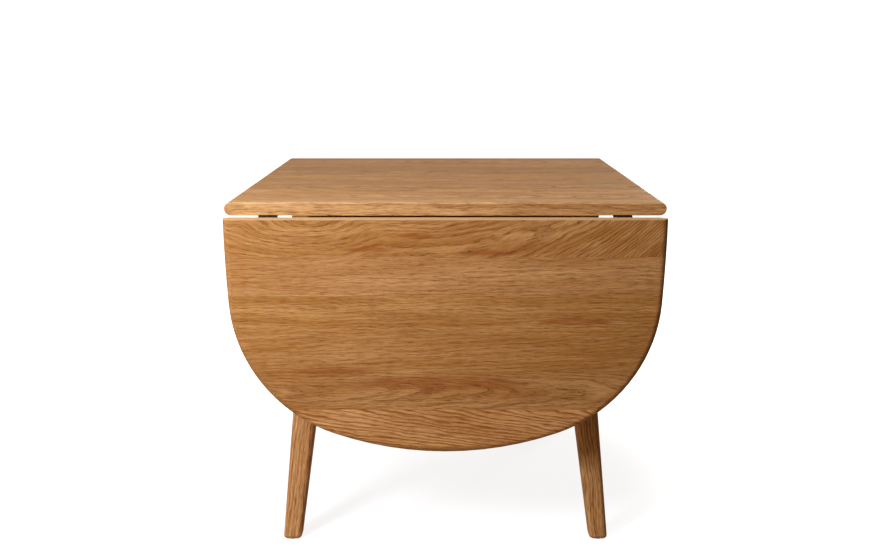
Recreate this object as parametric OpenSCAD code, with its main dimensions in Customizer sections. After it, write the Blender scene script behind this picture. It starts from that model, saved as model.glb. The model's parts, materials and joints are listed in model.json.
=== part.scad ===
// Drop leaf table: a fixed panel on four splayed legs, with a D-shaped leaf
// hinged along its front and rear edges. Both leaves hang at rest.
// +Z is up, the origin is on the floor under the centre of the panel,
// the front is -Y and the hinge lines run along X.

/* [Top] */
// Height of the table top above the floor
table_h = 730; // [650:5:780]
// Width of the panel and the leaves along the hinge line
top_w = 850; // [760:10:1100]
// Depth of the fixed panel between its two hinge edges
top_d = 850; // [760:10:1100]
// Thickness of the panel and the leaves
top_t = 26; // [22:1:34]
// Rounding along the top of the panel's two hinge edges
arris_r = 4; // [2:0.5:6]

/* [Leaves] */
// Length of a leaf from its hinge edge to its far end
leaf_l = 470; // [400:5:560]
// Radius of the long, nearly straight side of a leaf
leaf_side_r = 3000; // [2000:50:4000]
// Radius of the leaf's outer corners
leaf_corner_r = 300; // [220:10:330]
// Radius of the leaf's far end
leaf_end_r = 660; // [600:10:800]

/* [Legs] */
// Side of a leg's square section where it meets the top
leg_top_s = 70; // [56:1:80]
// Side of a leg's square section near the floor
leg_foot_s = 38; // [30:1:50]
// Distance of each leg top's centre inside the panel's side, along X
leg_in_x = 179; // [160:1:220]
// Distance of each leg top's centre inside the hinge edge, along Y
leg_in_y = 159; // [148:1:200]
// How far each foot stands out beyond its leg top, along X and along Y
leg_splay = 78; // [30:1:90]
// Rounding of the leg's lower end
leg_ease = 7; // [3:1:10]

/* [Frame] */
// Height of the four rails
rail_h = 80; // [70:1:110]
// Thickness of the rails
rail_t = 22; // [18:1:26]
// Length of the tenon on each rail end
tenon_l = 20; // [12:1:24]
// Thickness of the tenons
tenon_t = 10; // [8:1:12]
// Height of the cross rail under the middle of the panel
cross_h = 60; // [50:1:66]

/* [Hinges] */
// Distance of each hinge's middle inside the panel's side, along X
hinge_in = 84; // [60:1:120]
// Width of a hinge along its pin
hinge_w = 35; // [30:1:50]
// Length of a hinge plate away from the pin
hinge_l = 38; // [30:1:50]
// Thickness of the hinge plates
hinge_t = 2; // [1.5:0.1:2.2]
// Depth of the hinge pin's axis below the underside of the top
pin_drop = 2.5; // [2.4:0.1:4]
// Radius of the hinge knuckles
knuckle_r = 3.5; // [3:0.1:4.5]
// Radius of the hinge pins
hinge_pin_r = 1.5; // [1.2:0.1:1.8]

/* [Leaf stays] */
// Distance of each stay inside the side rails, along X
stay_off = 40; // [30:1:90]
// Distance of a strut's pivot inside the hinge pin
stay_in = 50; // [46:1:60]
// Depth of a strut's pivot below the hinge pin
stay_down = 30; // [26:1:36]
// Length of a strut between its pivot and its sliding pin
strut_l = 200; // [180:1:220]
// Depth of the sliding pin below the leaf when the leaf is up or down
slide_drop = 16; // [15:0.5:18]
// Width of a strut
strut_w = 16; // [14:1:18]
// Thickness of a strut
strut_t = 3; // [2:0.5:4]
// Thickness of the stay plates
stay_plate_t = 2.5; // [2:0.5:3]
// Radius of the pivot pins and the sliding pins
stay_pin_r = 3; // [2.5:0.1:3.5]

/* [Fasteners] */
// Thread radius of the wood screws
screw_r = 1.8; // [1.5:0.1:2]
// Head radius of the wood screws
screw_head_r = 3.4; // [3.2:0.1:3.6]
// Length of the wood screws that hold hinges and stays
screw_l = 16; // [12:1:18]
// Radius of the corner bolts
bolt_r = 4; // [3:0.5:5]
// Radius of the foot glides
glide_r = 11; // [9:0.5:13]
// Thickness of the foot glides
glide_t = 2; // [1.5:0.5:4]

/* [Clearances] */
// Gap between a raised leaf and the panel
joint_gap = 0.5; // [0.4:0.1:1]
// Gap between still parts that slide together when the table is built
fit_gap = 0.1; // [0.05:0.05:0.3]
// Radial gap between a turning part and its pin
turn_gap = 0.05; // [0.03:0.01:0.1]
// Gap between moving parts that pass each other
pass_gap = 0.4; // [0.3:0.1:0.6]

/* [Hidden] */

oak = [0.76, 0.58, 0.39];
oak_dark = [0.66, 0.48, 0.31];
steel = [0.55, 0.52, 0.48];
dark_steel = [0.3, 0.28, 0.26];
nylon = [0.2, 0.18, 0.17];

LEFT = -1;
RIGHT = 1;
half_w = top_w / 2;
half_d = top_d / 2;
top_under = table_h - top_t;
leg_top_x = half_w - leg_in_x;
leg_top_y = half_d - leg_in_y;
hinge_x = half_w - hinge_in;
leg_len = top_under - glide_t;
hinge_pin_z = top_under - pin_drop;

// Leg section at a distance below the top, and the leg's drift outward there
function leg_side(drop) = leg_top_s - (leg_top_s - leg_foot_s) * drop / leg_len;
function leg_drift(drop) = leg_splay * drop / leg_len;
// Inner face of a leg at a distance below the top, from the table's centre line
function leg_inner(centre, drop) = centre + leg_drift(drop) - leg_side(drop) / 2;
// Rounding of a leg's long corners, as a share of its side
leg_corner = 0.25;

// Centre planes of the rails, a little outside the leg tops' centres
rail_out = 5;
rail_end_y = leg_top_y + rail_out;
rail_side_x = leg_top_x + rail_out;
rail_inner_y = rail_end_y - rail_t / 2;
rail_inner_x = rail_side_x - rail_t / 2;
stay_x = rail_inner_x - stay_off;
// Shoulders above and below the rail tenons
tenon_drop = 18;
tenon_foot = 14;
cross_tenon_drop = 24;
cross_tenon_foot = 8;
cross_tenon_l = 8;

// Groove in the rails for the top buttons
groove_drop = 10;
groove_h = 6.4;
groove_depth = 8;
button_l = 30;
button_w = 24;
button_h = groove_drop + groove_h - fit_gap;
button_nib_l = groove_depth - 2;
button_head_in = 4;
// Distance of a button from the corner block on its rail
button_off = 28;
button_screw_l = 18;
button_screw_in = 13;
pan_head_t = 2.4;

// Corner blocks reach from rail to rail across each inner corner
block_reach = 52;
block_thick = 34;
block_h = 50;
block_drop = 14;
bolt_drop = block_drop + block_h / 2;
bolt_in_leg = 34;
nut_t = 6.5;
nut_r = 7.5;
washer_t = 1.6;
washer_r = 9;
bolt_end = 4;
block_sum = rail_inner_x + rail_inner_y - block_reach;
block_in_sum = block_sum - block_thick * sqrt(2);
button_x = block_in_sum - rail_inner_y - button_off - button_w / 2;
button_y = block_in_sum - rail_inner_x - button_off - button_w / 2;
bolt_mid_x = (block_in_sum + rail_inner_x - rail_inner_y) / 2;
bolt_mid_y = (block_in_sum - rail_inner_x + rail_inner_y) / 2;
// Diagonal distance from the block's inner face to the leg's inner corner
leg_corner_in = leg_side(bolt_drop) * leg_corner;
leg_inner_corner = [leg_inner(leg_top_x, bolt_drop), leg_inner(leg_top_y, bolt_drop)];
leg_near = norm(leg_inner_corner - [bolt_mid_x, bolt_mid_y]) + leg_corner_in * (sqrt(2) - 1);
bolt_l = leg_near + bolt_in_leg;

// Spigot of a foot glide, up into the leg
spigot_h = 10;
spigot_r = 2.5;

// Edges
edge_r = top_t / 2;
edge_steps = 10;
side_steps = 4;
corner_steps = 18;
end_steps = 6;

// Hinges
knuckles = 5;
knuckle_w = hinge_w / knuckles;
knuckle_clear = 0.15;
groove_r = knuckle_r + pass_gap;
plate_low = pin_drop - hinge_t;
pin_head_t = 1;
hinge_hole_u = [14, 27];
hinge_hole_w = hinge_w * 0.25;

// Screw head slots, and the length of a screw's point
drive_w = 0.7;
drive_l = 4;
drive_deep = 0.9;
screw_tip = 2;
screw_tip_r = 0.3;
// Smallest overlap that joins two solids
weld = 0.01;

// Leaf outline, in a plane with its origin on the hinge edge's middle
side_c = [half_w - leaf_side_r, 0];
end_c = [0, leaf_l - leaf_end_r];
side_to_corner = leaf_side_r - leaf_corner_r;
end_to_corner = leaf_end_r - leaf_corner_r;
centres_d = norm(end_c - side_c);
centres_e = (end_c - side_c) / centres_d;
corner_along = (centres_d * centres_d + side_to_corner * side_to_corner
    - end_to_corner * end_to_corner) / (2 * centres_d);
corner_across = sqrt(side_to_corner * side_to_corner - corner_along * corner_along);
corner_c = side_c + centres_e * corner_along + [-centres_e[1], centres_e[0]] * corner_across;
side_a = atan2(corner_c[1] - side_c[1], corner_c[0] - side_c[0]);
end_a = atan2(corner_c[1] - end_c[1], corner_c[0] - end_c[0]);

// Stay geometry, in the plane across the hinge line: x outward, y up, from the hinge pin
pivot = [-stay_in, -stay_down];
slide_rest = [-slide_drop, -stay_down - sqrt(strut_l * strut_l - pow(stay_in - slide_drop, 2))];
strut_rest_a = atan2(slide_rest[1] - pivot[1], slide_rest[0] - pivot[0]);
strut_up_a = asin((stay_down - slide_drop) / strut_l);
leaf_turn = 90;
stay_ratio = (strut_up_a - strut_rest_a) / leaf_turn;
// Sliding pin in the leaf's own plane, when the leaf is raised by an angle
function slide_at(a) =
    let (s = strut_rest_a + stay_ratio * a, f = a - 90)
    let (p = pivot + strut_l * [cos(s), sin(s)])
    [p[0] * cos(f) + p[1] * sin(f), -p[0] * sin(f) + p[1] * cos(f)];
slot_steps = 24;
slot_half = stay_pin_r + 0.3;
slot_line = [for (i = [0:slot_steps]) slide_at(leaf_turn * i / slot_steps)];
slot_low = min([for (p = slot_line) p[1]]);
slot_near = slot_line[slot_steps][0];
slot_far = slot_line[0][0];
slot_mid = (slot_near + slot_far) / 2;
slot_margin = 14;
slot_taper = 8;
slot_under = 7;
strut_plane = stay_plate_t / 2 + pass_gap + strut_t / 2;
rivet_r = stay_pin_r + 2.5;
rivet_t = 1.5;

// Flanges of the stay plates, and the bracket's lug
stay_flange_w = 18;
flange_mid = stay_flange_w / 2 - stay_plate_t / 2;
bracket_from = 8;
bracket_l = 84;
bracket_hole_u = [22, 50, 78];
lug_in = 20;
lug_l = 60;
lug_r = strut_w / 2 + 1;

// ---- Places ----

// Turns a front part round to the rear edge
module rear() { rotate([0, 0, 180]) children(); }

// Plane across the front hinge line: x is outward, y is up, z is towards -X
module edge_plane(x) { translate([x, -half_d, hinge_pin_z]) rotate([90, 0, -90]) children(); }

// The same plane turned with a hanging leaf: x runs down the leaf, y is outward
module leaf_plane(x) { edge_plane(x) rotate([0, 0, -90]) children(); }

// Mirrors a rear right corner piece to the corner with these signs
module at_corner(sx, sy) { mirror([sx < 0 ? 1 : 0, 0, 0]) mirror([0, sy < 0 ? 1 : 0, 0]) children(); }

// ---- Fasteners ----

// Countersunk wood screw along +Z, its head flush with z = 0
module screw(len) {
    head_t = screw_head_r - screw_r;
    difference() {
        union() {
            cylinder(h = head_t, r1 = screw_head_r, r2 = screw_r, $fn = 32);
            translate([0, 0, head_t - weld])
                cylinder(h = len - head_t - screw_tip, r = screw_r, $fn = 32);
            translate([0, 0, len - screw_tip - weld])
                cylinder(h = screw_tip, r1 = screw_r, r2 = screw_tip_r, $fn = 32);
        }
        drive_slot();
        rotate([0, 0, 90]) drive_slot();
    }
}

// Slot in a screw head that is flush with z = 0
module drive_slot() {
    translate([-drive_l / 2, -drive_w / 2, -1]) cube([drive_l, drive_w, 1 + drive_deep]);
}

// Pilot hole and countersink for the same screw
module screw_hole(len) {
    head_t = screw_head_r - screw_r;
    cylinder(h = len + 1, r = screw_r + fit_gap, $fn = 32);
    cylinder(h = head_t, r1 = screw_head_r, r2 = screw_r, $fn = 32);
    translate([0, 0, -1]) cylinder(h = 1, r = screw_head_r, $fn = 32);
}

// ---- Top ----

module top_hinge_screw_places() {
    for (s = [LEFT, RIGHT], u = hinge_hole_u, w = [-1, 1])
        edge_plane(s * hinge_x + w * hinge_hole_w)
            translate([-u, plate_low, 0]) rotate([-90, 0, 0]) children();
}

module bracket_screw_places() {
    for (s = [LEFT, RIGHT], u = bracket_hole_u)
        edge_plane(s * stay_x - flange_mid)
            translate([-u, plate_low, 0]) rotate([-90, 0, 0]) children();
}

module leaf_hinge_screw_places() {
    for (s = [LEFT, RIGHT], u = hinge_hole_u, w = [-1, 1])
        leaf_plane(s * hinge_x + w * hinge_hole_w)
            translate([u, plate_low, 0]) rotate([-90, 0, 0]) children();
}

module slot_plate_screw_places() {
    for (s = [LEFT, RIGHT], u = [slot_near, slot_mid, slot_far])
        leaf_plane(s * stay_x - flange_mid)
            translate([u, plate_low, 0]) rotate([-90, 0, 0]) children();
}

// Button places: two on each rail, beside its corner blocks
module button_places() {
    for (s = [LEFT, RIGHT], m = [-1, 1]) {
        translate([m * button_x, s * rail_inner_y, 0])
            rotate([0, 0, s > 0 ? 0 : 180]) children();
        translate([s * rail_inner_x, m * button_y, 0])
            rotate([0, 0, s > 0 ? -90 : 90]) children();
    }
}

module knuckle_groove(x) {
    edge_plane(x) translate([0, 0, -hinge_w / 2 - pin_head_t - pass_gap])
        cylinder(h = hinge_w + 2 * (pin_head_t + pass_gap), r = groove_r, $fn = 48);
}

// What is cut away along the top of the panel's rear hinge edge
module arris_cut() {
    translate([-half_w - 1, half_d - arris_r, table_h - arris_r]) difference() {
        cube([top_w + 2, arris_r + 1, arris_r + 1]);
        rotate([0, 90, 0]) translate([0, 0, -1]) cylinder(h = top_w + 4, r = arris_r, $fn = 64);
    }
}

module top_panel() {
    color(oak)
    difference() {
        rotate([90, 0, 0]) linear_extrude(top_d, center = true) union() {
            translate([-half_w + edge_r, top_under]) square([top_w - 2 * edge_r, top_t]);
            for (s = [-1, 1])
                translate([s * (half_w - edge_r), top_under + edge_r]) circle(edge_r, $fn = 64);
        }
        arris_cut();
        rear() arris_cut();
        for (s = [LEFT, RIGHT]) {
            knuckle_groove(s * hinge_x);
            rear() knuckle_groove(s * hinge_x);
        }
        for (a = [0, 180]) rotate([0, 0, a]) {
            top_hinge_screw_places() screw_hole(screw_l);
            bracket_screw_places() screw_hole(screw_l);
        }
        button_places() translate([0, -button_screw_in, top_under - button_h]) button_pilot();
    }
}

// ---- Frame ----

module button_pilot() {
    translate([0, 0, button_head_in])
        cylinder(h = button_screw_l + 1, r = screw_r + fit_gap, $fn = 32);
}

// Rail between two legs, along X, centred on y = 0, its top at z = 0
module rail(centre) {
    top_half = leg_inner(centre, 0);
    low_half = leg_inner(centre, rail_h);
    mid_in = leg_inner(centre, tenon_drop);
    difference() {
        union() {
            rotate([90, 0, 0]) linear_extrude(rail_t, center = true)
                polygon([[-top_half, 0], [-low_half, -rail_h], [low_half, -rail_h], [top_half, 0]]);
            translate([-mid_in - tenon_l, -tenon_t / 2, -rail_h + tenon_foot])
                cube([2 * (mid_in + tenon_l), tenon_t, rail_h - tenon_foot - tenon_drop]);
        }
        translate([-top_half - 1, -rail_t / 2 - 1, -groove_drop - groove_h])
            cube([2 * top_half + 2, groove_depth + 1, groove_h]);
    }
}

module end_rail() {
    color(oak_dark)
    difference() {
        translate([0, -rail_end_y, top_under]) rotate([0, 0, 180]) rail(leg_top_x);
        cross_tenons(fit_gap);
    }
}

module side_rail() {
    color(oak_dark) translate([rail_side_x, 0, top_under]) rotate([0, 0, -90]) rail(leg_top_y);
}

// The cross rail's tenons with a gap round them, joined by a bar through the rail
module cross_tenons(gap) {
    translate([-tenon_t / 2 - gap, -rail_inner_y - cross_tenon_l - gap,
        top_under - cross_h + cross_tenon_foot - gap])
        cube([tenon_t + 2 * gap, 2 * (rail_inner_y + cross_tenon_l + gap),
            cross_h - cross_tenon_foot - cross_tenon_drop + 2 * gap]);
}

module cross_rail() {
    color(oak_dark)
    union() {
        translate([-rail_t / 2, -rail_inner_y, top_under - cross_h])
            cube([rail_t, 2 * rail_inner_y, cross_h]);
        cross_tenons(0);
    }
}

// Rounded square slice of a leg, at a distance below the top
module leg_slice(drop, inset) {
    s = leg_side(drop) - 2 * inset;
    r = leg_corner * s;
    translate([leg_top_x + leg_drift(drop), leg_top_y + leg_drift(drop), top_under - drop])
        linear_extrude(weld) union() {
            for (i = [-1, 1], j = [-1, 1])
                translate([i * (s / 2 - r), j * (s / 2 - r)]) circle(r, $fn = 32);
        }
}

module leg_body() {
    hull() {
        translate([0, 0, -weld]) leg_slice(0, 0);
        leg_slice(leg_len - leg_ease, 0);
        for (a = [30, 60, 90])
            leg_slice(leg_len - leg_ease * (1 - sin(a)), leg_ease * (1 - cos(a)));
    }
}

module tenon_cut() {
    for (swap = [0, 1]) {
        mirror([swap, -swap, 0]) {
            centre = swap == 0 ? leg_top_x : leg_top_y;
            line = swap == 0 ? rail_end_y : rail_side_x;
            mid_in = leg_inner(centre, tenon_drop);
            translate([mid_in - rail_t, line - tenon_t / 2 - fit_gap,
                top_under - rail_h + tenon_foot - fit_gap])
                cube([rail_t + tenon_l + fit_gap, tenon_t + 2 * fit_gap,
                    rail_h - tenon_foot - tenon_drop + 2 * fit_gap]);
        }
    }
}

// Line of a corner bolt: from the inside of the frame along the diagonal
module bolt_line() {
    translate([bolt_mid_x, bolt_mid_y, top_under - bolt_drop])
        rotate([0, 0, 45]) rotate([0, 90, 0]) children();
}

module leg() {
    color(oak)
    difference() {
        leg_body();
        tenon_cut();
        bolt_line() cylinder(h = bolt_l + 1, r = bolt_r + fit_gap, $fn = 40);
        glide_spigot(fit_gap);
    }
}

module glide_spigot(gap) {
    translate([leg_top_x + leg_splay, leg_top_y + leg_splay, glide_t - weld])
        cylinder(h = spigot_h + gap, r = spigot_r + gap / 2, $fn = 32);
}

module foot_glide() {
    color(nylon)
    union() {
        translate([leg_top_x + leg_splay, leg_top_y + leg_splay, 0])
            cylinder(h = glide_t, r = glide_r, $fn = 48);
        glide_spigot(0);
    }
}

module corner_block() {
    color(oak_dark)
    difference() {
        translate([0, 0, top_under - block_drop - block_h]) linear_extrude(block_h)
            polygon([
                [block_sum - rail_inner_y, rail_inner_y],
                [block_in_sum - rail_inner_y, rail_inner_y],
                [rail_inner_x, block_in_sum - rail_inner_x],
                [rail_inner_x, block_sum - rail_inner_x]
            ]);
        bolt_line() translate([0, 0, -1]) cylinder(h = block_thick * 2, r = bolt_r + fit_gap, $fn = 40);
    }
}

module corner_bolts() {
    color(steel)
    for (sx = [-1, 1], sy = [-1, 1]) at_corner(sx, sy) bolt_line()
        translate([0, 0, -washer_t - nut_t - bolt_end])
            cylinder(h = bolt_l + washer_t + nut_t + bolt_end, r = bolt_r, $fn = 40);
}

module corner_nuts() {
    color(steel)
    for (sx = [-1, 1], sy = [-1, 1]) at_corner(sx, sy) bolt_line()
        difference() {
            union() {
                translate([0, 0, -washer_t]) cylinder(h = washer_t, r = washer_r, $fn = 40);
                translate([0, 0, -washer_t - nut_t]) cylinder(h = nut_t, r = nut_r, $fn = 6);
            }
            translate([0, 0, -washer_t - nut_t - 1])
                cylinder(h = washer_t + nut_t + 2, r = bolt_r + turn_gap, $fn = 40);
        }
}

// Button that hooks into a rail's groove and is screwed up into the panel
module top_buttons() {
    color(oak)
    button_places() translate([0, 0, top_under - button_h]) difference() {
        union() {
            translate([-button_w / 2, -button_l, 0]) cube([button_w, button_l - fit_gap, button_h]);
            translate([-button_w / 2, -1, 0])
                cube([button_w, button_nib_l + 1, groove_h - 2 * fit_gap]);
        }
        translate([0, -button_screw_in, 0]) {
            translate([0, 0, -1]) cylinder(h = button_head_in + 1, r = screw_head_r + fit_gap, $fn = 32);
            cylinder(h = button_h + 1, r = screw_r + fit_gap, $fn = 32);
        }
    }
}

module button_screws() {
    color(steel)
    button_places() translate([0, -button_screw_in, top_under - button_h + button_head_in])
        difference() {
            union() {
                translate([0, 0, -pan_head_t]) cylinder(h = pan_head_t, r = screw_head_r, $fn = 32);
                cylinder(h = button_screw_l, r = screw_r, $fn = 32);
            }
            translate([0, 0, -pan_head_t]) drive_slot();
        }
}

// ---- Hinges ----

// One hinge plate in the plane across the hinge line: flat of the plate at
// plate_low..pin_drop, going from the pin along +x; knuckle numbers in list
module hinge_plate(list) {
    difference() {
        union() {
            translate([groove_r, plate_low, -hinge_w / 2]) cube([hinge_l - groove_r, hinge_t, hinge_w]);
            for (k = list) translate([0, 0, -hinge_w / 2 + k * knuckle_w]) {
                translate([0, plate_low, knuckle_clear / 2])
                    cube([groove_r + 1, hinge_t, knuckle_w - knuckle_clear]);
                translate([0, 0, knuckle_clear / 2])
                    cylinder(h = knuckle_w - knuckle_clear, r = knuckle_r, $fn = 48);
            }
        }
        translate([0, 0, -hinge_w]) cylinder(h = 2 * hinge_w, r = hinge_pin_r + turn_gap, $fn = 40);
        for (u = hinge_hole_u, w = [-1, 1])
            translate([u, plate_low, w * hinge_hole_w]) rotate([-90, 0, 0]) screw_hole(screw_l);
    }
}

module top_hinge(x) {
    color(steel) edge_plane(x) mirror([1, 0, 0]) hinge_plate([0, 2, 4]);
}

module leaf_hinges() {
    color(steel) for (s = [LEFT, RIGHT]) leaf_plane(s * hinge_x) hinge_plate([1, 3]);
}

module hinge_pin(x) {
    color(dark_steel) edge_plane(x) {
        translate([0, 0, -hinge_w / 2]) cylinder(h = hinge_w, r = hinge_pin_r, $fn = 40);
        for (s = [-1, 1]) translate([0, 0, s * (hinge_w / 2 + pin_head_t / 2 - knuckle_clear / 2)])
            cylinder(h = pin_head_t, r = hinge_pin_r + 1, $fn = 40, center = true);
    }
}

module top_hinge_screws() {
    color(steel) for (a = [0, 180]) rotate([0, 0, a]) top_hinge_screw_places() screw(screw_l);
}
module leaf_hinge_screws() { color(steel) leaf_hinge_screw_places() screw(screw_l); }

// ---- Stays ----

// Angle bracket under the panel's edge, with a lug for the strut's pivot
module stay_bracket(x) {
    color(steel) edge_plane(x) difference() {
        union() {
            translate([-bracket_from - bracket_l, plate_low, -stay_plate_t / 2])
                cube([bracket_l, hinge_t, stay_flange_w]);
            translate([0, 0, -stay_plate_t / 2]) linear_extrude(stay_plate_t) union() {
                translate(pivot) circle(lug_r, $fn = 48);
                polygon([[-lug_in - lug_l, plate_low + 1], [-lug_in, plate_low + 1],
                    [pivot[0] + lug_r, pivot[1]], [pivot[0] - lug_r, pivot[1]]]);
            }
        }
        translate([pivot[0], pivot[1], -stay_plate_t])
            cylinder(h = 2 * stay_plate_t, r = stay_pin_r + turn_gap, $fn = 40);
        for (u = bracket_hole_u)
            translate([-u, plate_low, flange_mid]) rotate([-90, 0, 0]) screw_hole(screw_l);
    }
}

// Rivet that joins a stay plate and a strut; the strut runs on the plate's -z side
module stay_pin() {
    shank = strut_t + stay_plate_t + 3 * pass_gap;
    translate([0, 0, -strut_plane - strut_t / 2 - pass_gap]) {
        translate([0, 0, -rivet_t]) cylinder(h = rivet_t, r = rivet_r, $fn = 40);
        translate([0, 0, -1]) cylinder(h = shank + 2, r = stay_pin_r, $fn = 40);
        translate([0, 0, shank]) cylinder(h = rivet_t, r = rivet_r, $fn = 40);
    }
}

module stay_pivots() {
    color(dark_steel)
    for (s = [LEFT, RIGHT]) edge_plane(s * stay_x) translate(pivot) stay_pin();
}

module strut(x) {
    color(steel) edge_plane(x) translate([pivot[0], pivot[1], -strut_plane - strut_t / 2])
        rotate([0, 0, strut_rest_a]) difference() {
            linear_extrude(strut_t) union() {
                translate([0, -strut_w / 2]) square([strut_l, strut_w]);
                circle(strut_w / 2, $fn = 48);
                translate([strut_l, 0]) circle(strut_w / 2, $fn = 48);
            }
            for (u = [0, strut_l])
                translate([u, 0, -1]) cylinder(h = strut_t + 2, r = stay_pin_r + turn_gap, $fn = 40);
        }
}

module slide_pin(x) {
    color(dark_steel) edge_plane(x) translate(slide_rest) stay_pin();
}

// Slot outline around the path of the sliding pin
function slot_normal(i) =
    let (d = slot_line[min(i + 1, slot_steps)] - slot_line[max(i - 1, 0)])
    [-d[1], d[0]] / norm(d);
module slot_cut() {
    polygon(concat(
        [for (i = [0:slot_steps]) slot_line[i] + slot_half * slot_normal(i)],
        [for (i = [slot_steps:-1:0]) slot_line[i] - slot_half * slot_normal(i)]));
    for (p = [slot_line[0], slot_line[slot_steps]]) translate(p) circle(slot_half, $fn = 48);
}

// Plate on the leaf with the curved slot, in the leaf's plane
module slot_plate(x) {
    color(steel) leaf_plane(x) difference() {
        union() {
            translate([slot_near - slot_margin, plate_low, -stay_plate_t / 2])
                cube([slot_far - slot_near + 2 * slot_margin, hinge_t, stay_flange_w]);
            translate([0, 0, -stay_plate_t / 2]) linear_extrude(stay_plate_t) difference() {
                polygon([
                    [slot_near - slot_margin, plate_low + 1],
                    [slot_near - slot_margin, -slide_drop],
                    [slot_near + slot_taper, slot_low - slot_half - slot_under],
                    [slot_far - slot_taper, slot_low - slot_half - slot_under],
                    [slot_far + slot_margin, -slide_drop],
                    [slot_far + slot_margin, plate_low + 1]]);
                slot_cut();
            }
        }
        for (u = [slot_near, slot_mid, slot_far])
            translate([u, plate_low, flange_mid]) rotate([-90, 0, 0]) screw_hole(screw_l);
    }
}

module stay_bracket_screws() {
    color(steel) for (a = [0, 180]) rotate([0, 0, a]) bracket_screw_places() screw(screw_l);
}
module slot_plate_screws() { color(steel) slot_plate_screw_places() screw(screw_l); }

// ---- Leaves ----

// Outline points of the leaf as [point, outward direction], from the right end
// of its hinge edge round to the left end
function arc_outline(c, r, a0, a1, first, n) = [for (i = [first:n])
    let (a = a0 + (a1 - a0) * i / n, d = [cos(a), sin(a)]) [c + r * d, d]];
function mirrored(p) = [[-p[0][0], p[0][1]], [-p[1][0], p[1][1]]];
right_outline = concat(
    arc_outline(side_c, leaf_side_r, 0, side_a, 0, side_steps),
    arc_outline(corner_c, leaf_corner_r, side_a, end_a, 1, corner_steps),
    arc_outline(end_c, leaf_end_r, end_a, 90, 1, end_steps));
right_count = len(right_outline);
outline = concat(right_outline, [for (i = [right_count - 2:-1:0]) mirrored(right_outline[i])]);

// Leaf in plan: x across, y from its hinge edge outward, z from its underside up.
// Each outline point carries one half round of the edge, from the underside to the face.
module leaf_plan() {
    last = len(outline) - 1;
    ring = edge_steps + 1;
    points = [for (p = outline, j = [0:edge_steps])
        let (a = 180 * j / edge_steps - 90, e = p[0] - p[1] * edge_r * (1 - cos(a)))
        [e[0], e[1], edge_r + edge_r * sin(a)]];
    sides = [for (i = [0:last - 1], j = [0:edge_steps - 1])
        [i * ring + j, i * ring + j + 1, (i + 1) * ring + j + 1, (i + 1) * ring + j]];
    underside = [for (i = [0:last]) i * ring];
    face = [for (i = [last:-1:0]) i * ring + edge_steps];
    hinge_edge = concat([for (j = [edge_steps:-1:0]) j], [for (j = [0:edge_steps]) last * ring + j]);
    polyhedron(points, concat(sides, [underside, face, hinge_edge]), convexity = 2);
}

module leaf() {
    color(oak)
    difference() {
        leaf_plane(0) rotate([0, -90, -90]) translate([0, joint_gap, pin_drop]) leaf_plan();
        for (s = [LEFT, RIGHT]) knuckle_groove(s * hinge_x);
        leaf_hinge_screw_places() screw_hole(screw_l);
        slot_plate_screw_places() screw_hole(screw_l);
    }
}

top_panel();
end_rail();  // end_rail_front
rear() end_rail();  // end_rail_rear
mirror([1, 0, 0]) side_rail();  // side_rail_left
side_rail();  // side_rail_right
cross_rail();
at_corner(-1, -1) leg();  // leg_front_left
at_corner(1, -1) leg();  // leg_front_right
at_corner(-1, 1) leg();  // leg_rear_left
at_corner(1, 1) leg();  // leg_rear_right
at_corner(-1, -1) corner_block();  // corner_block_front_left
at_corner(1, -1) corner_block();  // corner_block_front_right
at_corner(-1, 1) corner_block();  // corner_block_rear_left
at_corner(1, 1) corner_block();  // corner_block_rear_right
corner_bolts();
corner_nuts();
top_buttons();
button_screws();
at_corner(-1, -1) foot_glide();  // foot_glide_front_left
at_corner(1, -1) foot_glide();  // foot_glide_front_right
at_corner(-1, 1) foot_glide();  // foot_glide_rear_left
at_corner(1, 1) foot_glide();  // foot_glide_rear_right
top_hinge(-hinge_x);  // top_hinge_front_left
top_hinge(hinge_x);  // top_hinge_front_right
rear() top_hinge(hinge_x);  // top_hinge_rear_left
rear() top_hinge(-hinge_x);  // top_hinge_rear_right
hinge_pin(-hinge_x);  // hinge_pin_front_left
hinge_pin(hinge_x);  // hinge_pin_front_right
rear() hinge_pin(hinge_x);  // hinge_pin_rear_left
rear() hinge_pin(-hinge_x);  // hinge_pin_rear_right
top_hinge_screws();
stay_bracket(-stay_x);  // stay_bracket_front_left
stay_bracket(stay_x);  // stay_bracket_front_right
rear() stay_bracket(stay_x);  // stay_bracket_rear_left
rear() stay_bracket(-stay_x);  // stay_bracket_rear_right
stay_pivots();  // stay_pivots_front
rear() stay_pivots();  // stay_pivots_rear
stay_bracket_screws();
leaf();  // front_leaf
leaf_hinges();  // front_leaf_hinges
leaf_hinge_screws();  // front_leaf_hinge_screws
slot_plate(-stay_x);  // front_slot_plate_left
slot_plate(stay_x);  // front_slot_plate_right
slot_plate_screws();  // front_slot_plate_screws
rear() leaf();  // rear_leaf
rear() leaf_hinges();  // rear_leaf_hinges
rear() leaf_hinge_screws();  // rear_leaf_hinge_screws
rear() slot_plate(stay_x);  // rear_slot_plate_left
rear() slot_plate(-stay_x);  // rear_slot_plate_right
rear() slot_plate_screws();  // rear_slot_plate_screws
strut(-stay_x);  // front_strut_left
strut(stay_x);  // front_strut_right
rear() strut(stay_x);  // rear_strut_left
rear() strut(-stay_x);  // rear_strut_right
slide_pin(-stay_x);  // front_slide_pin_left
slide_pin(stay_x);  // front_slide_pin_right
rear() slide_pin(stay_x);  // rear_slide_pin_left
rear() slide_pin(-stay_x);  // rear_slide_pin_right
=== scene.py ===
import json
import math

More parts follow.
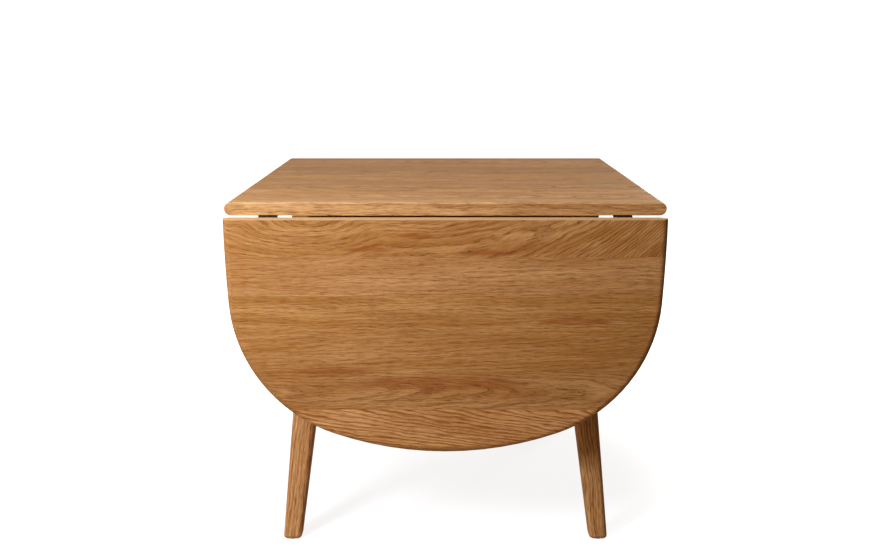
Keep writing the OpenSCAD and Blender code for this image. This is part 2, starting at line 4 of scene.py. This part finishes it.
import bmesh
import bpy
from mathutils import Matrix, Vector

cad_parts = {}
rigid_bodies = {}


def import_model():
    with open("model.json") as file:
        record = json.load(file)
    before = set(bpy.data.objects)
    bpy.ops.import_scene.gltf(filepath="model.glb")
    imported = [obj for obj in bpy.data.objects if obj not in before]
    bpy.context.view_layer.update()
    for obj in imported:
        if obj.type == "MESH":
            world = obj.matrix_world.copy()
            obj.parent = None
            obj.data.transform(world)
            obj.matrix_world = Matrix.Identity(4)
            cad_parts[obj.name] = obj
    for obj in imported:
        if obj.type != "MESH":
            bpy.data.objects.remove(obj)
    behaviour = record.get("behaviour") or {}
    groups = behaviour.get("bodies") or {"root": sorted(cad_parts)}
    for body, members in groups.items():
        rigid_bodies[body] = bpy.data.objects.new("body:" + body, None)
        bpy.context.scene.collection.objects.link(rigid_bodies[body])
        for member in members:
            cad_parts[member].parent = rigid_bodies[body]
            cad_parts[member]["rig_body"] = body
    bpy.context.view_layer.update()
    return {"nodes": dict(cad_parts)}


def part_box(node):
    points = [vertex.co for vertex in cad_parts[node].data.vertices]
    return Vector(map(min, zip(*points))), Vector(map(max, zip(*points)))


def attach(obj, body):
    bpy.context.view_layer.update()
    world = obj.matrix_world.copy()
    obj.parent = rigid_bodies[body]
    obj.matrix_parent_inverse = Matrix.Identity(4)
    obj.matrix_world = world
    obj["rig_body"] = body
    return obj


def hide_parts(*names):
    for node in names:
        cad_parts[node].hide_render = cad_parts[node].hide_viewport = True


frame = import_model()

NODES = frame["nodes"]
SCENE = bpy.context.scene
MM = 0.001

TOP_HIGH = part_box("top_panel")[1]
LEAF_LOW, LEAF_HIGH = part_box("front_leaf")


# ---------------------------------------------------------------- shader helpers

class Value:
    """A node socket that can be added, multiplied and divided like a number."""

    def __init__(self, tree, socket):
        self.tree = tree
        self.socket = socket

    def math(self, operation, *others):
        node = self.tree.nodes.new("ShaderNodeMath")
        node.operation = operation
        for i, value in enumerate((self, *others)):
            plug(self.tree, value, node.inputs[i])
        return Value(self.tree, node.outputs[0])

    def __add__(self, other):
        return self.math("ADD", other)

    def __sub__(self, other):
        return self.math("SUBTRACT", other)

    def __mul__(self, other):
        return self.math("MULTIPLY", other)

    def __truediv__(self, other):
        return self.math("DIVIDE", other)


def plug(tree, value, socket):
    """Links a Value into a socket, or sets a plain number there."""
    if isinstance(value, Value):
        tree.links.new(value.socket, socket)
    else:
        socket.default_value = value


def combine(tree, x, y, z):
    node = tree.nodes.new("ShaderNodeCombineXYZ")
    for socket, value in zip(node.inputs, (x, y, z)):
        plug(tree, value, socket)
    return Value(tree, node.outputs[0])


def separate(tree, vector):
    node = tree.nodes.new("ShaderNodeSeparateXYZ")
    tree.links.new(vector.socket, node.inputs[0])
    return [Value(tree, out) for out in node.outputs]


def object_point(tree):
    """The surface point in millimetres, in the row frame at rest."""
    node = tree.nodes.new("ShaderNodeTexCoord")
    x, y, z = separate(tree, Value(tree, node.outputs["Object"]))
    return [axis / MM for axis in (x, y, z)]


def noise(tree, x, y, z, detail=2.0, rough=0.5, distort=0.0):
    """Smooth noise from 0 to 1 with features about one unit across."""
    node = tree.nodes.new("ShaderNodeTexNoise")
    plug(tree, combine(tree, x, y, z), node.inputs["Vector"])
    node.inputs["Scale"].default_value = 1.0
    node.inputs["Detail"].default_value = detail
    node.inputs["Roughness"].default_value = rough
    node.inputs["Distortion"].default_value = distort
    return Value(tree, node.outputs["Fac"])


def randoms(tree, key):
    """Three random numbers from 0 to 1 that depend only on key."""
    node = tree.nodes.new("ShaderNodeTexWhiteNoise")
    node.noise_dimensions = "1D"
    plug(tree, key, node.inputs["W"])
    return separate(tree, Value(tree, node.outputs["Color"]))


def remap(value, low, high, to_low=0.0, to_high=1.0):
    """Goes smoothly from to_low at low to to_high at high, and stays level outside."""
    node = value.tree.nodes.new("ShaderNodeMapRange")
    node.interpolation_type = "SMOOTHSTEP"
    for i, number in enumerate((value, low, high, to_low, to_high)):
        plug(value.tree, number, node.inputs[i])
    return Value(value.tree, node.outputs[0])


def mix_colour(tree, factor, a, b, blend="MIX"):
    """Colour a at factor 0 and b at factor 1, or a multiplied by b, and so on."""
    node = tree.nodes.new("ShaderNodeMix")
    node.data_type = "RGBA"
    node.blend_type = blend
    plug(tree, factor, node.inputs["Factor"])
    for name, colour in (("A", a), ("B", b)):
        socket = [s for s in node.inputs if s.name == name and s.type == "RGBA"][0]
        plug(tree, colour if isinstance(colour, Value) else (*colour, 1.0), socket)
    return Value(tree, [s for s in node.outputs if s.type == "RGBA"][0])


def new_material(name):
    """A material with one principled shader, not yet set."""
    material = bpy.data.materials.new(name)
    material.use_nodes = True
    tree = material.node_tree
    tree.nodes.clear()
    shader = tree.nodes.new("ShaderNodeBsdfPrincipled")
    output = tree.nodes.new("ShaderNodeOutputMaterial")
    tree.links.new(shader.outputs[0], output.inputs[0])
    return material, tree, shader


def bump(tree, shader, height, distance, strength):
    """Fine relief from height; distance is in metres."""
    node = tree.nodes.new("ShaderNodeBump")
    node.inputs["Distance"].default_value = distance
    node.inputs["Strength"].default_value = strength
    tree.links.new(height.socket, node.inputs["Height"])
    tree.links.new(node.outputs[0], shader.inputs["Normal"])


# ---------------------------------------------------------------- oak, in millimetres

OAK_PALE = (0.620, 0.415, 0.225)
OAK_LIGHT = (0.570, 0.320, 0.128)
OAK_MID = (0.450, 0.218, 0.066)
OAK_DARK = (0.235, 0.084, 0.018)
OAK_RED = (0.290, 0.088, 0.016)
OAK_PORE = (0.110, 0.040, 0.010)

# The columns of a table of staves.
PITH_ACROSS, PITH_DEPTH, PITH_SLOPE, TONE, DRIFT, BOLDNESS, PALENESS = range(7)

# Every stave is cut from its own place in the noise.
LOG_SPACING = 5000.0
SEED_SPACING = 17.0
SECOND_DRAW = 300.5

PITH_ACROSS_SPREAD = 190.0
PITH_DEPTH_LEAST = 18.0
PITH_DEPTH_SPREAD = 85.0
PITH_SLOPE_SPREAD = 0.30
DRIFT_SPREAD = 0.05

# How far the rings bend, and over what length and width.
SLOW_BEND, SLOW_LENGTH, SLOW_WIDTH = 38.0, 190.0, 60.0
WAVE_BEND, WAVE_LENGTH, WAVE_WIDTH = 3.6, 42.0, 16.0
RING_LEAST = 5.4
RING_SPREAD = 2.6
RING_UNEVEN = 1.9

# How a sweep grows bolder and wavier towards its end.
SWEEP_BOLD = 0.24
SWEEP_WAVE = 1.4

# Lengths and widths of the marks in the wood.
STREAK_LENGTH, STREAK_WIDTH = 200.0, 5.2
FIBRE_LENGTH, FIBRE_WIDTH = 46.0, 1.35
DASH_LENGTH, DASH_WIDTH = 19.0, 0.95
BROAD_LENGTH, BROAD_WIDTH = 300.0, 26.0
HAIR_LENGTH, HAIR_WIDTH, HAIR_SPACING = 24.0, 0.62, 6.0
LANE_WIDTH = 30.0
DASH_APART = 7.0

# How strongly each mark shows.
RING_DARK = 0.16
STREAK_DARK = 0.26
FIBRE_DARK = 0.42
DASH_DARK = 0.40
DARK_LESS = 0.16
LAYER_DARK = 0.16
DASH_PALE = 0.45
PATCH_RED = 0.75
PORE_DARK = 0.65
SEAM_DARK = 0.10
# Strength and soft border of the painted highlight along the leaves' hinge edge.
EDGE_HIGHLIGHT_STRENGTH = 0.8
EDGE_BLUR = 1.2

OAK_RELIEF = 0.00022


def chosen(index, number):
    """1 on the stave with that number and 0 elsewhere."""
    return index.math("COMPARE", float(number), 0.1)


def override(index, value, staves, column):
    """Replaces a value on the staves that the table names."""
    for number, row in staves.items():
        value = chosen(index, number) * (value * -1.0 + row[column]) + value
    return value


def grain_noise(along, across, depth, length, width, detail, rough=0.5):
    """Noise drawn out along the grain."""
    return noise(along.tree, along / length, across / width, depth / width, detail, rough)


def oak(name, axes, stave=78.0, start=0.0, seed=0.0, tone=1.0, staves=None, sweep=None,
        swirls=(), patches=(), layer=None, edge_highlight_from=None, figure=1.0, bold=0.0, spread=0.10):
    """Flat-sawn oiled oak, edge-glued from staves.

    axes(x, y, z) gives the distances along the grain, across the staves and into
    the board. Each stave comes from its own log: growth rings are cylinders round
    a pith below the board that isn't quite parallel to it.
    stave, start: the staves' width, and where stave number 0 begins.
    staves: stave number to its values in the columns named above.
    sweep: (stave number, start, length) of grain that rises towards one end.
    swirls: (along, across, half length, half width, lift) of grain that bends round a spot.
    patches: (along, across, half length, half width) of reddish figure.
    layer: (stave number, upper, lower) of a darker growth layer in one stave.
    edge_highlight_from: where across the board the painted highlight along the hinge edge begins: a
    paler band that stands in for the light the edge catches.
    figure: how far the rings wander; bold: how strongly they show; spread: of the staves' tones.
    """
    material, tree, shader = new_material(name)
    staves = staves or {}
    along, across, depth = axes(*object_point(tree))

    row = (across - start) / stave
    index = row.math("FLOOR")
    inside = (row - index - 0.5) * stave
    key = index + seed * SEED_SPACING
    r1, r2, r3 = randoms(tree, key)
    r4, r5, r6 = randoms(tree, key + SECOND_DRAW)
    shifted = along + r1 * LOG_SPACING

    pith_across = override(index, (r2 - 0.5) * PITH_ACROSS_SPREAD, staves, PITH_ACROSS)
    pith_depth = override(index, r3 * PITH_DEPTH_SPREAD + PITH_DEPTH_LEAST, staves, PITH_DEPTH)
    slope = override(index, (r4 - 0.5) * PITH_SLOPE_SPREAD, staves, PITH_SLOPE)
    stave_tone = override(index, r5 * spread + (1.0 - spread / 2), staves, TONE)
    boldness = override(index, bold, staves, BOLDNESS)
    paleness = override(index, 0.0, staves, PALENESS)
    drift = override(index, (r6 - 0.5) * DRIFT_SPREAD, staves, DRIFT) * along

    # Bends in the grain.
    slow = grain_noise(shifted, inside, depth, SLOW_LENGTH, SLOW_WIDTH, 1.5)
    slow = (slow - 0.5) * (SLOW_BEND * figure)
    wave = grain_noise(shifted, inside, depth, WAVE_LENGTH, WAVE_WIDTH, 2.0)
    wave = (wave - 0.5) * (WAVE_BEND * figure)
    if sweep:
        number, sweep_start, sweep_length = sweep
        past = (along - sweep_start).math("MAXIMUM", 0.0) / sweep_length
        here = chosen(index, number)
        drift = drift + here * (past * past * past) * (sweep_length / 3.0)
        boldness = here * past * SWEEP_BOLD + boldness
        wave = wave * (here * past * SWEEP_WAVE + 1.0)
    for centre_along, centre_across, half_length, half_width, lift in swirls:
        u = (along - centre_along) / half_length
        v = (across - centre_across) / half_width
        drift = drift + remap(u * u + v * v, 1.0, 0.0) * lift

    # Growth rings.
    ring_x = inside - drift - pith_across + slow * 0.55
    ring_z = depth + pith_depth + slope * along + slow * 0.45
    radius = (ring_x * ring_x + ring_z * ring_z).math("SQRT") + wave
    uneven = noise(tree, radius / 14.0, r1 * 90.0, shifted / 75.0, 1.5)
    ring = (radius / (r5 * RING_SPREAD + RING_LEAST) + (uneven - 0.5) * RING_UNEVEN).math("FRACT")
    early = remap(ring, 0.0, 0.14) * remap(ring, 0.66, 0.16)

    # Marks that follow the rings or the fibres.
    lane = inside / LANE_WIDTH
    flow = inside - drift + slow * 0.35 + wave * 0.6
    streak = noise(tree, shifted / STREAK_LENGTH, radius / STREAK_WIDTH, lane, 3.0, 0.60)
    fibre = grain_noise(shifted, flow, depth, FIBRE_LENGTH, FIBRE_WIDTH, 2.0, 0.60)
    dash = noise(tree, shifted / DASH_LENGTH, flow / DASH_WIDTH, depth / DASH_WIDTH + DASH_APART, 1.0)
    broad = noise(tree, shifted / BROAD_LENGTH, radius / BROAD_WIDTH, lane, 1.0)
    hair = noise(tree, shifted / HAIR_LENGTH, radius / HAIR_WIDTH, inside / HAIR_SPACING, 2.0, 0.6)
    pores = remap(hair, 0.55, 0.66) * (early * 0.8 + 0.2)

    dark = (
        early * (boldness + RING_DARK)
        + remap(streak, 0.36, 0.66) * STREAK_DARK
        + remap(fibre, 0.36, 0.64) * FIBRE_DARK
        + remap(dash, 0.48, 0.66) * DASH_DARK
        - DARK_LESS
    ).math("MAXIMUM", 0.0)
    if layer:
        number, upper, lower = layer
        band = remap(depth, upper + 2.0, upper - 2.0) * remap(depth, lower - 3.0, lower + 3.0)
        fading = remap(along + slow * 9.0, -330.0, 100.0, 0.0, LAYER_DARK)
        dark = dark + chosen(index, number) * band * fading

    base = mix_colour(tree, remap(broad, 0.25, 0.75), OAK_LIGHT, OAK_MID)
    base = mix_colour(tree, paleness, base, OAK_PALE)
    base = mix_colour(tree, remap(dash, 0.36, 0.24) * DASH_PALE, base, OAK_PALE)
    base = mix_colour(tree, dark.math("MINIMUM", 1.0), base, OAK_DARK)
    for centre_along, centre_across, half_length, half_width in patches:
        u = (along + wave * 3.0 - centre_along) / half_length
        v = (across + slow * 0.2 - centre_across) / half_width
        spot = remap(u * u + v * v, 1.0, 0.1) * remap(fibre, 0.30, 0.62, 0.35, 1.0)
        base = mix_colour(tree, spot * PATCH_RED, base, OAK_RED)
    base = mix_colour(tree, pores * PORE_DARK, base, OAK_PORE)
    seam = remap((inside / stave * 2.0).math("ABSOLUTE"), 0.975, 0.997)
    base = mix_colour(tree, seam * SEAM_DARK, base, OAK_DARK)
    # Painted highlight: the top of the leaf's hinge edge is mixed towards pale oak to stand in for
    # the light it catches.
    if edge_highlight_from is not None:
        edge_highlight_mask = remap(across, edge_highlight_from, edge_highlight_from + EDGE_BLUR, 0.0, EDGE_HIGHLIGHT_STRENGTH)
        base = mix_colour(tree, edge_highlight_mask, base, OAK_PALE)
    shade = stave_tone * tone
    tint = combine(tree, shade, shade, shade * (r4 * 0.12 + 0.94))
    base = mix_colour(tree, 1.0, base, tint, "MULTIPLY")
    tree.links.new(base.socket, shader.inputs["Base Color"])

    rough = remap(fibre, 0.3, 0.7, 0.40, 0.50) + pores * 0.2
    tree.links.new(rough.socket, shader.inputs["Roughness"])
    shader.inputs["Specular IOR Level"].default_value = 0.5
    relief = remap(fibre, 0.3, 0.7) * 0.3 - pores - early * 0.2
    bump(tree, shader, relief, OAK_RELIEF, 0.6)
    return material


def along_x_top(x, y, z):
    return x, y, z - TOP_HIGH.z / MM


def along_x_front_leaf(x, y, z):
    return x, z - LEAF_HIGH.z / MM, (y - LEAF_LOW.y / MM) * -1.0


def along_x_rear_leaf(x, y, z):
    return x, z - LEAF_HIGH.z / MM, y + LEAF_LOW.y / MM


def along_x(x, y, z):
    return x, z, y


def along_y(x, y, z):
    return y, z, x


LEG_LEAN = 0.111
LEG_MID = 324.0


def leg_axes(sign_x, sign_y):
    """Along the leaning leg, with its middle line at LEG_MID * sign_x across and at 0 deep."""
    def axes(x, y, z):
        lean = z * LEG_LEAN
        return z, x + lean * float(sign_x), y * float(-sign_y) + LEG_MID - lean
    return axes


# ---------------------------------------------------------------- metal and plastic

BRUSH_LENGTH = 9.0
STAIN_SIZE = 7.0
STAIN_DULL = 0.62
BRUSH_BRIGHT = 1.35
STEEL_RELIEF = 0.00004

NYLON_BLACK = (0.030, 0.026, 0.023)
NYLON_SCUFFED = (0.085, 0.075, 0.068)
NYLON_RELIEF = 0.00006


def steel(name, colour, rough_low, rough_high):
    """Plated steel: brushed along X, with wear and faint stains."""
    material, tree, shader = new_material(name)
    x, y, z = object_point(tree)
    grain = noise(tree, x / BRUSH_LENGTH, y * 3.0, z * 3.0, 4.0, 0.6)
    stain = noise(tree, x / STAIN_SIZE, y / STAIN_SIZE, z / STAIN_SIZE, 3.0, 0.55, 0.6)
    dull = tuple(c * STAIN_DULL for c in colour)
    bright = tuple(min(1.0, c * BRUSH_BRIGHT) for c in colour)
    base = mix_colour(tree, remap(stain, 0.42, 0.70) * 0.65, colour, dull)
    base = mix_colour(tree, remap(grain, 0.45, 0.7) * 0.25, base, bright)
    tree.links.new(base.socket, shader.inputs["Base Color"])
    shader.inputs["Metallic"].default_value = 1.0
    rough = remap(stain, 0.3, 0.7, rough_low, rough_high) + remap(grain, 0.4, 0.6) * 0.12
    tree.links.new(rough.socket, shader.inputs["Roughness"])
    bump(tree, shader, grain, STEEL_RELIEF, 0.35)
    return material


def nylon(name):
    """Dark moulded nylon with a fine grain and scuffs."""
    material, tree, shader = new_material(name)
    x, y, z = object_point(tree)
    fine = noise(tree, x * 2.2, y * 2.2, z * 2.2, 3.0)
    scuff = remap(noise(tree, x / 6.0, y / 6.0, z / 2.0, 4.0), 0.52, 0.72)
    base = mix_colour(tree, scuff * 0.5, NYLON_BLACK, NYLON_SCUFFED)
    tree.links.new(base.socket, shader.inputs["Base Color"])
    tree.links.new(remap(fine, 0.3, 0.7, 0.42, 0.62).socket, shader.inputs["Roughness"])
    bump(tree, shader, fine, NYLON_RELIEF, 0.4)
    return material


# ---------------------------------------------------------------- pieces

SMOOTH_ANGLE = math.radians(34)
BEVEL_ANGLE = math.radians(50)
FLAT_ANGLE = math.radians(0.5)
WELD = 0.01 * MM


def eased(node_name, width, material, steps=3):
    """A piece with the CAD node's shape, its sharp edges rounded by width in millimetres."""
    source = NODES[node_name]
    body = source["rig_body"]
    shape = bmesh.new()
    shape.from_mesh(source.data)
    bmesh.ops.remove_doubles(shape, verts=shape.verts, dist=WELD)
    bmesh.ops.dissolve_limit(shape, angle_limit=FLAT_ANGLE, verts=shape.verts, edges=shape.edges)
    sharp = [
        e for e in shape.edges
        if len(e.link_faces) == 2 and e.calc_face_angle(0.0) > BEVEL_ANGLE
    ]
    if sharp:
        bmesh.ops.bevel(
            shape, geom=sharp, offset=width * MM, offset_type="OFFSET", segments=steps,
            profile=0.5, affect="EDGES", clamp_overlap=True, miter_outer="ARC",
        )
    mesh = bpy.data.meshes.new("piece_" + node_name)
    shape.to_mesh(mesh)
    shape.free()
    mesh.polygons.foreach_set("use_smooth", [True] * len(mesh.polygons))
    mesh.set_sharp_from_angle(angle=SMOOTH_ANGLE)
    mesh.materials.append(material)
    piece = bpy.data.objects.new("piece_" + node_name, mesh)
    SCENE.collection.objects.link(piece)
    weighted = piece.modifiers.new("weighted", "WEIGHTED_NORMAL")
    weighted.keep_sharp = True
    weighted.weight = 100
    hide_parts(node_name)
    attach(piece, body)


# Stave number: pith across, pith depth, pith slope, tone, drift, boldness, paleness.
FRONT_STAVES = {
    -1: (-46.0, 60.0, 0.02, 0.97, 0.0, 0.10, 0.0),
    -2: (120.0, 70.0, 0.03, 0.99, 0.01, -0.06, 0.1),
    -3: (-130.0, 60.0, -0.02, 0.94, -0.01, 0.0, 0.0),
    -4: (95.0, 55.0, 0.05, 0.94, 0.02, 0.0, 0.0),
    -5: (-4.0, 26.0, 0.06, 0.93, 0.0, 0.12, 0.0),
    -6: (60.0, 34.0, -0.10, 1.15, -0.09, 0.42, 0.15),
}
FRONT_SWEEP = (-1, -250.0, 680.0)
FRONT_SWIRLS = ((-270.0, -42.0, 150.0, 58.0, -24.0), (-30.0, -335.0, 170.0, 34.0, 7.0))
FRONT_PATCHES = (
    (-150.0, -57.0, 62.0, 8.0), (-55.0, -32.0, 45.0, 8.0), (70.0, -66.0, 90.0, 5.0),
    (-210.0, -300.0, 110.0, 12.0), (-20.0, -325.0, 210.0, 20.0), (250.0, -200.0, 90.0, 10.0),
)
# The top's front stave is paler: partly its own lighter wood, partly a painted highlight for the
# light its front edge catches.
TOP_STAVES = {-1: (150.0, 60.0, 0.02, 1.0, 0.0, 0.0, 0.5)}
TOP_LAYER = (-1, -3.0, -12.0)

TOP_STAVE, TOP_START = 85.0, -395.0
# The last number is where the painted highlight along the leaves' top edge begins, 2.2 mm below that
# edge.
LEAF_STAVE, LEAF_START, LEAF_EDGE_HIGHLIGHT_FROM = 76.5, 4.0, -2.2
# One stave covers a whole leg or rail.
LEG_STAVE, LEG_START = 400.0, -200.0
RAIL_STAVE, RAIL_START = 400.0, 500.0
BLOCK_STAVE = 160.0
BUTTON_STAVE = 60.0
FIRST_SEED = 10.0
SEED_STEP = 3.0
CROSS_SEED = 71.0
BUTTON_SEED = 77.0

TOP_EASE = 0.5
LEAF_EASE = 0.7
LEG_EASE = 0.8
FRAME_EASE = 1.5


def build_wood():
    eased("top_panel", TOP_EASE, oak(
        "oak_top", along_x_top, stave=TOP_STAVE, start=TOP_START, seed=3.0, tone=1.03,
        staves=TOP_STAVES, layer=TOP_LAYER, figure=0.45, bold=0.14, spread=0.2,
    ))
    eased("front_leaf", LEAF_EASE, oak(
        "oak_front_leaf", along_x_front_leaf, stave=LEAF_STAVE, start=LEAF_START, seed=1.0,
        staves=FRONT_STAVES, sweep=FRONT_SWEEP, swirls=FRONT_SWIRLS, patches=FRONT_PATCHES,
        edge_highlight_from=LEAF_EDGE_HIGHLIGHT_FROM, figure=0.7,
    ))
    eased("rear_leaf", LEAF_EASE, oak(
        "oak_rear_leaf", along_x_rear_leaf, stave=LEAF_STAVE, start=LEAF_START, seed=5.0,
        edge_highlight_from=LEAF_EDGE_HIGHLIGHT_FROM,
    ))
    seed = FIRST_SEED
    for end, sign_y in (("front", -1), ("rear", 1)):
        for side, sign_x in (("left", -1), ("right", 1)):
            where = f"{end}_{side}"
            seed += SEED_STEP
            leg_stave = (40.0 * sign_x * sign_y, 55.0, 0.04, 1.0, 0.0, 0.22, 0.35)
            # The right legs get a slightly darker tone than the left: painted shade for the side away
            # from the light.
            eased("leg_" + where, LEG_EASE, oak(
                "oak_leg_" + where, leg_axes(sign_x, sign_y), stave=LEG_STAVE,
                start=LEG_START + LEG_MID * sign_x, seed=seed, tone=1.24 - 0.03 * sign_x,
                staves={0: leg_stave},
            ))
            eased("corner_block_" + where, FRAME_EASE, oak(
                "oak_block_" + where, along_x, stave=BLOCK_STAVE, seed=seed + 1.0, tone=0.93,
            ))
    for rail, axes in (
        ("end_rail_front", along_x), ("end_rail_rear", along_x),
        ("side_rail_left", along_y), ("side_rail_right", along_y),
    ):
        seed += SEED_STEP
        eased(rail, FRAME_EASE, oak("oak_" + rail, axes, RAIL_STAVE, RAIL_START, seed, 0.95))
    eased("cross_rail", FRAME_EASE, oak(
        "oak_cross_rail", along_y, RAIL_STAVE, RAIL_START, CROSS_SEED, 0.93,
    ))
    eased("top_buttons", LEG_EASE, oak("oak_buttons", along_y, BUTTON_STAVE, seed=BUTTON_SEED))


def build_hardware():
    # The hinge plates' near-black brown is partly their dark finish and partly painted shade for the
    # narrow gap they sit in.
    plate = steel("hinge_steel", (0.092, 0.054, 0.032), 0.42, 0.58)
    stay = steel("stay_steel", (0.42, 0.40, 0.37), 0.30, 0.46)
    screw = steel("screw_steel", (0.46, 0.42, 0.34), 0.24, 0.40)
    pin = steel("pin_steel", (0.16, 0.14, 0.12), 0.36, 0.55)
    foot = nylon("glide_nylon")
    for name in NODES:
        if name.startswith("foot_glide"):
            eased(name, 0.4, foot)
        elif name.startswith(("hinge_pin", "stay_pivots")) or "slide_pin" in name:
            eased(name, 0.3, pin)
        elif "screws" in name:
            eased(name, 0.12, screw, steps=2)
        elif name in ("corner_bolts", "corner_nuts"):
            eased(name, 0.4, screw)
        elif "hinge" in name:
            eased(name, 0.25, plate)
        elif "stay" in name or "strut" in name or "slot_plate" in name:
            eased(name, 0.3, stay)


# ---------------------------------------------------------------- stage, light, camera

WHITE = 1.06
PURE_WHITE = (1.0, 1.0, 1.0)
FLOOR_HALF = 40.0
# What the camera sees, and what the table feels.
FLOOR_GREY = (0.30, 0.30, 0.30)
FLOOR_BOUNCE = (0.25, 0.17, 0.10)
FLOOR_SEEN = 0.71
FLOOR_FELT_LEFT = 0.26
FLOOR_FELT_RIGHT = 0.10
# From the table's middle, in metres: where the floor begins to turn white, and where it is.
FLOOR_NEAR, FLOOR_FAR = 0.40, 0.86
ROOM_WARM = (1.0, 0.80, 0.55)
ROOM_COOL = (1.0, 0.92, 0.80)
ROOM_LEFT = 0.34
ROOM_RIGHT = 0.02
ROOM_BACK = 0.33
ROOM_LOW = 0.20


def build_floor():
    """A white sweep: it shows the soft shadows near the table and turns pure white further out.

    It is one-sided, so that views from below see the underside of the table.
    """
    mesh = bpy.data.meshes.new("floor")
    h = FLOOR_HALF
    mesh.from_pydata([(-h, -h, 0), (h, -h, 0), (h, h, 0), (-h, h, 0)], [], [(0, 1, 2, 3)])
    floor = bpy.data.objects.new("floor", mesh)
    SCENE.collection.objects.link(floor)
    material = bpy.data.materials.new("pale_floor")
    material.use_nodes = True
    tree = material.node_tree
    tree.nodes.clear()
    output = tree.nodes.new("ShaderNodeOutputMaterial")
    diffuse = tree.nodes.new("ShaderNodeBsdfDiffuse")
    x, y = object_point(tree)[:2]
    away = (x * x + y * y).math("SQRT") * MM
    seen = remap(away, FLOOR_NEAR, FLOOR_FAR, FLOOR_SEEN, WHITE)
    felt = remap(x, 900.0, -1300.0, FLOOR_FELT_RIGHT, FLOOR_FELT_LEFT)
    path = Value(tree, tree.nodes.new("ShaderNodeLightPath").outputs["Is Camera Ray"])
    tree.links.new(mix_colour(tree, path, FLOOR_BOUNCE, FLOOR_GREY).socket, diffuse.inputs["Color"])
    glow = tree.nodes.new("ShaderNodeEmission")
    tree.links.new((path * (seen - felt) + felt).socket, glow.inputs["Strength"])
    tree.links.new(mix_colour(tree, path, ROOM_WARM, PURE_WHITE).socket, glow.inputs["Color"])
    add = tree.nodes.new("ShaderNodeAddShader")
    tree.links.new(diffuse.outputs[0], add.inputs[0])
    tree.links.new(glow.outputs[0], add.inputs[1])
    below = tree.nodes.new("ShaderNodeNewGeometry").outputs["Backfacing"]
    one_sided = tree.nodes.new("ShaderNodeMixShader")
    tree.links.new(below, one_sided.inputs[0])
    tree.links.new(add.outputs[0], one_sided.inputs[1])
    tree.links.new(tree.nodes.new("ShaderNodeBsdfTransparent").outputs[0], one_sided.inputs[2])
    tree.links.new(one_sided.outputs[0], output.inputs[0])
    mesh.materials.append(material)


def build_world():
    """A white room that lights from the left and above far more than from the right."""
    world = bpy.data.worlds.new("white_room")
    SCENE.world = world
    world.use_nodes = True
    tree = world.node_tree
    tree.nodes.clear()
    output = tree.nodes.new("ShaderNodeOutputWorld")
    coordinates = tree.nodes.new("ShaderNodeTexCoord")
    x, y, z = separate(tree, Value(tree, coordinates.outputs["Generated"]))
    side = remap(x, 0.75, -0.85, ROOM_RIGHT, ROOM_LEFT)
    height = remap(z, -0.3, 0.7, ROOM_LOW, 1.0)
    behind = remap(y, 0.3, 0.95)
    strength = side * height + behind * ROOM_BACK
    tint = mix_colour(tree, behind, ROOM_WARM, ROOM_COOL)
    path = Value(tree, tree.nodes.new("ShaderNodeLightPath").outputs["Is Camera Ray"])
    room = tree.nodes.new("ShaderNodeBackground")
    tree.links.new(mix_colour(tree, path, tint, PURE_WHITE).socket, room.inputs["Color"])
    tree.links.new((path * (strength * -1.0 + WHITE) + strength).socket, room.inputs["Strength"])
    tree.links.new(room.outputs[0], output.inputs[0])


def area_light(name, place, target, size, power, colour, gloss=True):
    """A round light in metres and watts; gloss says whether it shows in reflections."""
    data = bpy.data.lights.new(name, "AREA")
    data.shape = "DISK"
    data.size = size
    data.energy = power
    data.color = colour
    light = bpy.data.objects.new(name, data)
    SCENE.collection.objects.link(light)
    light.visible_glossy = gloss
    light.location = place
    light.rotation_euler = (Vector(target) - Vector(place)).to_track_quat("-Z", "Y").to_euler()


def build_lights():
    area_light("key", place=(-1.05, -1.55, 1.3), target=(-0.2, -0.4, 0.45), size=0.5,
               power=23, colour=(0.95, 1.01, 1.16), gloss=False)
    area_light("back_fill", place=(1.9, 2.5, 1.3), target=(0.2, 0.2, 0.45), size=1.3,
               power=30, colour=(1.0, 0.95, 0.88))
    area_light("overhead", place=(-0.5, -1.1, 2.8), target=(0.0, 0.0, 0.7), size=1.8,
               power=34, colour=(0.98, 1.0, 1.04))


# The photo's camera, in the photo's pixels and in metres.
FOCAL_PX = 1056.3
FRAME_W = 890
CENTRE_SHIFT_PX = 0.4
SENSOR_MM = 36.0
CAMERA_PLACE = (0.0, -2.4336, 1.0140)
CAMERA_PITCH = math.radians(11.884)


def build_camera():
    data = bpy.data.cameras.new("camera")
    data.sensor_width = SENSOR_MM
    data.lens = FOCAL_PX / FRAME_W * SENSOR_MM
    data.shift_x = -CENTRE_SHIFT_PX / FRAME_W
    data.clip_start = 0.05
    data.clip_end = 200.0
    camera = bpy.data.objects.new("camera", data)
    SCENE.collection.objects.link(camera)
    camera.location = CAMERA_PLACE
    camera.rotation_euler = (math.pi / 2 - CAMERA_PITCH, 0.0, 0.0)
    SCENE.camera = camera


build_wood()
build_hardware()
build_floor()
build_world()
build_lights()
build_camera()
SCENE.view_settings.view_transform = "Standard"
SCENE.view_settings.look = "Medium High Contrast"
